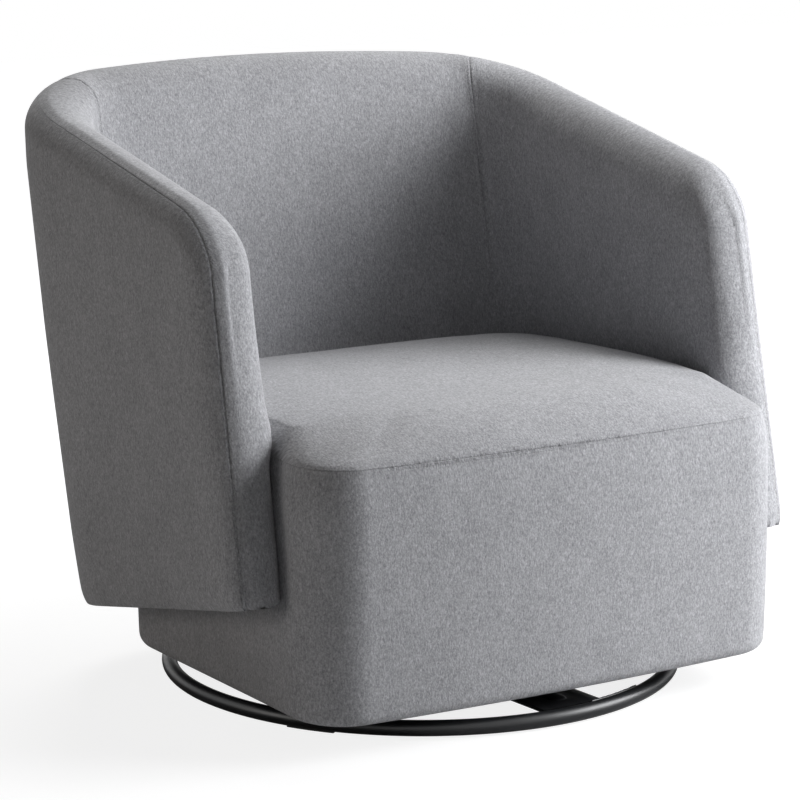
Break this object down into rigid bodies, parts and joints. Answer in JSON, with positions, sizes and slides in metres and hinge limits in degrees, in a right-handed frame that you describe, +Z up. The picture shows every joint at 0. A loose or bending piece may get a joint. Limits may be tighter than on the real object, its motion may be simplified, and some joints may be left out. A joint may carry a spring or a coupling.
{
  "type": "swivel tub armchair",
  "caption": "Low upholstered swivel tub chair: a leaning padded shell wraps a deep seat block with a crowned top, on a ball-race swivel over a flat ring base of steel tube.",
  "frame": {"origin": "on the floor, under the middle of the overall bounding box; the swivel axis stands 52.7 mm in front of it", "axes": "+Z up, the front of the chair towards -Y, +X to the side that is on the right in a front view"},
  "size_m": [0.794, 0.7454, 0.7298],
  "materials": {
    "grey_heather_weave": "matt heather weave in two greys, slightly hairy",
    "plywood": "raw sanded board",
    "black_powder_coat": "satin powder coat",
    "zinc_steel": "bright zinc plate",
    "black_backing_cloth": "thin black non-woven",
    "glide_plastic": "matt moulded"
  },
  "bodies": {
    "base": {"base_ring": "black_powder_coat", "cross_bar": "black_powder_coat", "floor_glide_rear": "glide_plastic", "floor_glide_left": "glide_plastic", "floor_glide_right": "glide_plastic", "swivel_plate_lower": "zinc_steel", "plate_bolt_1": "zinc_steel", "plate_bolt_2": "zinc_steel", "plate_bolt_3": "zinc_steel", "plate_bolt_4": "zinc_steel"},
    "ball_cage": {"ball_cage": "zinc_steel"},
    "chair": {"swivel_plate_upper": "zinc_steel", "pivot_rivet": "zinc_steel", "plate_screw_1": "zinc_steel", "plate_screw_2": "zinc_steel", "plate_screw_3": "zinc_steel", "plate_screw_4": "zinc_steel", "mount_slat_rear": "plywood", "mount_slat_front": "plywood", "seat_rail_front": "plywood", "seat_rail_rear": "plywood", "seat_rail_right": "plywood", "seat_rail_left": "plywood", "corner_post_front_right": "plywood", "corner_post_front_left": "plywood", "corner_post_rear_right": "plywood", "corner_post_rear_left": "plywood", "sinuous_spring_1": "zinc_steel", "sinuous_spring_2": "zinc_steel", "sinuous_spring_3": "zinc_steel", "sinuous_spring_4": "zinc_steel", "spring_felt": "black_backing_cloth", "dust_cover": "black_backing_cloth", "seat_border_front": "grey_heather_weave", "seat_border_rear": "grey_heather_weave", "seat_border_right": "grey_heather_weave", "seat_border_left": "grey_heather_weave", "seat_cushion": "grey_heather_weave", "arm_pad_right": "grey_heather_weave", "arm_pad_left": "grey_heather_weave", "back_pad": "grey_heather_weave", "outer_arm_panel_right": "grey_heather_weave", "outer_arm_panel_left": "grey_heather_weave", "outer_back_panel": "grey_heather_weave", "arm_frame_right": "plywood", "arm_frame_left": "plywood", "back_top_rail": "plywood", "back_foot_rail": "plywood", "back_post_middle_right": "plywood", "back_post_middle_left": "plywood", "back_post_corner_right": "plywood", "back_post_corner_left": "plywood", "back_strap_lower": "black_backing_cloth", "back_strap_upper": "black_backing_cloth", "arm_bolt_front_right": "zinc_steel", "arm_bolt_front_left": "zinc_steel", "arm_bolt_rear_right": "zinc_steel", "arm_bolt_rear_left": "zinc_steel", "back_bolt_right": "zinc_steel", "back_bolt_left": "zinc_steel"}
  },
  "joints": [
    {"name": "seat_swivel", "type": "hinge", "parent": "base", "child": "chair", "pos_m": [0, -0.05267, 0], "axis": [0, 0, 1], "continuous": true},
    {"name": "ball_cage_turn", "type": "hinge", "parent": "base", "child": "ball_cage", "pos_m": [0, -0.05267, 0], "axis": [0, 0, 1], "continuous": true}
  ],
  "couplings": [
    {"joint": "ball_cage_turn", "follows": "seat_swivel", "ratio": 0.5}
  ]
}
